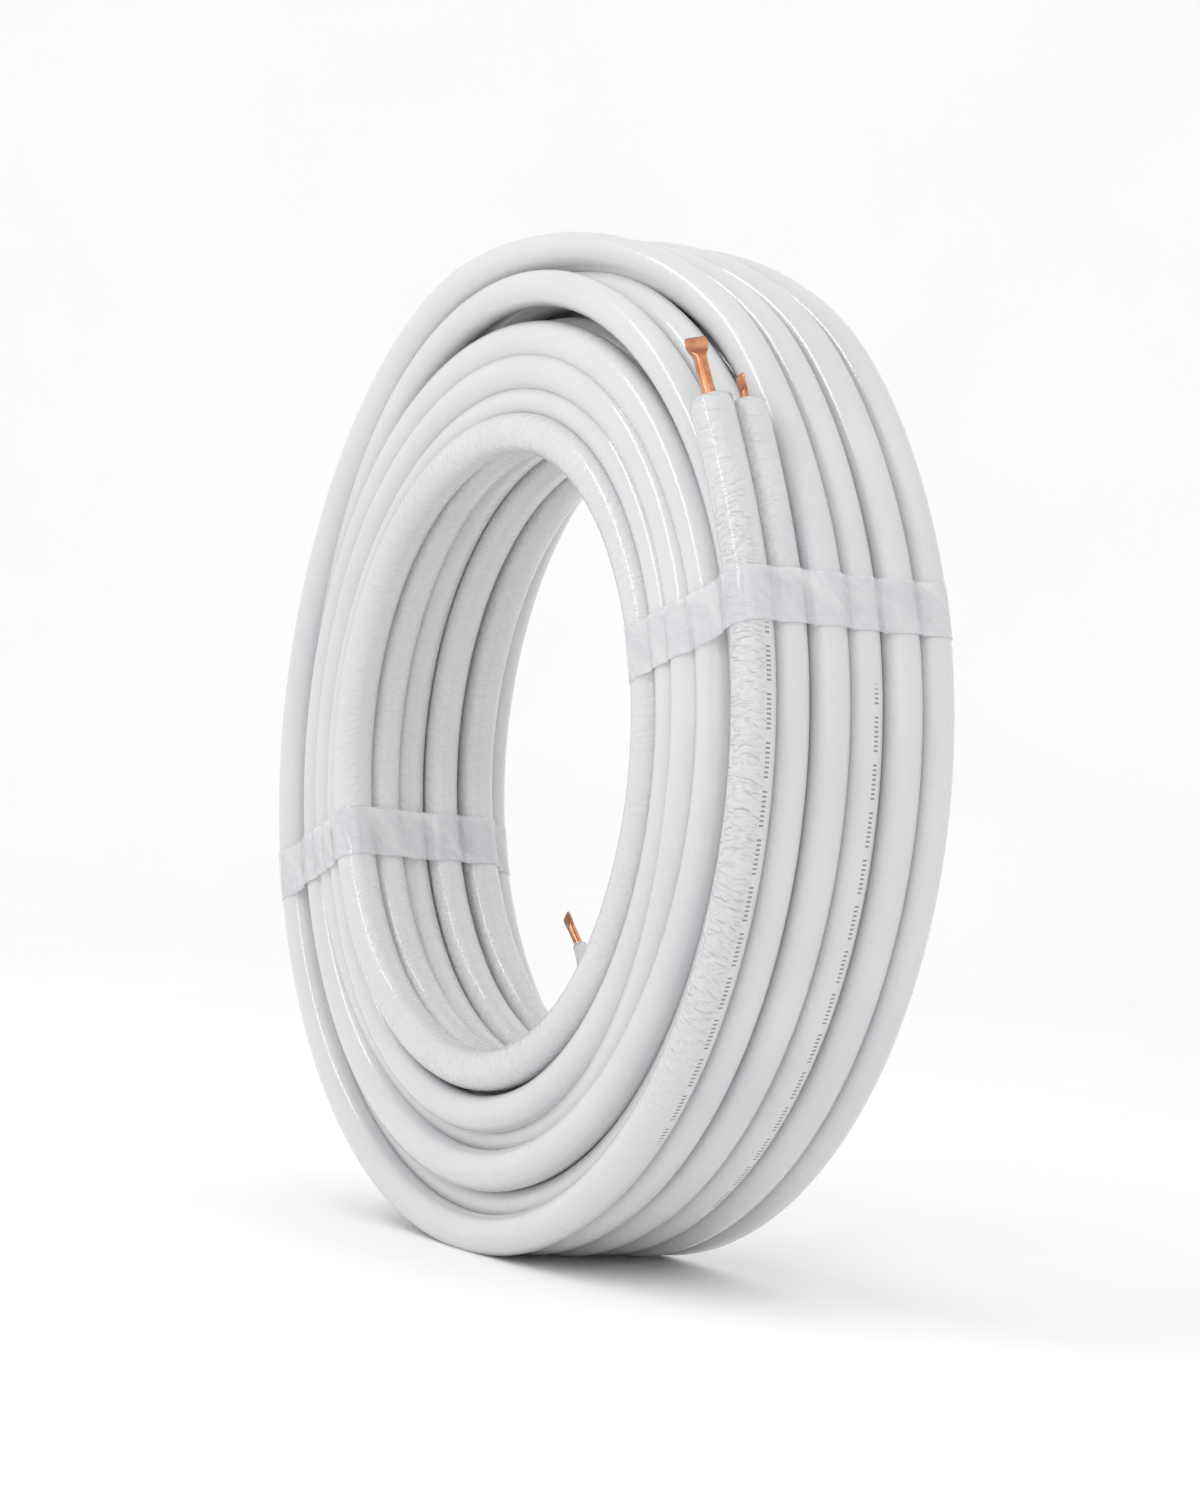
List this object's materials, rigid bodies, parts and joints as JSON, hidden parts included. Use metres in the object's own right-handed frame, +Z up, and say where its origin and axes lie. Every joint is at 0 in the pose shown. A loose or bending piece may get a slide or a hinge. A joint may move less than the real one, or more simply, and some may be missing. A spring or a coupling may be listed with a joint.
{
  "type": "mini split line set",
  "caption": "A standing coil of twin copper refrigerant pipe in white foam sleeves, bound with clear tape, its copper ends pinched flat.",
  "frame": {"origin": "on the ground under the middle of the coil", "axes": "the coil's axis is Y and its front face looks along -Y; Z is up"},
  "size_m": [0.7184, 0.1778, 0.7335],
  "materials": {
    "foam_sleeve": "satin",
    "copper_tube": "satin",
    "clear_tape": "gloss"
  },
  "bodies": {
    "root": {"winding": "foam_sleeve", "suction_sleeve_outer_end": "foam_sleeve", "liquid_sleeve_outer_end": "foam_sleeve", "suction_sleeve_inner_end": "foam_sleeve", "liquid_sleeve_inner_end": "foam_sleeve", "suction_tube_outer_end": "copper_tube", "liquid_tube_outer_end": "copper_tube", "suction_tube_inner_end": "copper_tube", "liquid_tube_inner_end": "copper_tube", "tape_band_right": "clear_tape", "tape_band_left": "clear_tape"}
  },
  "joints": []
}
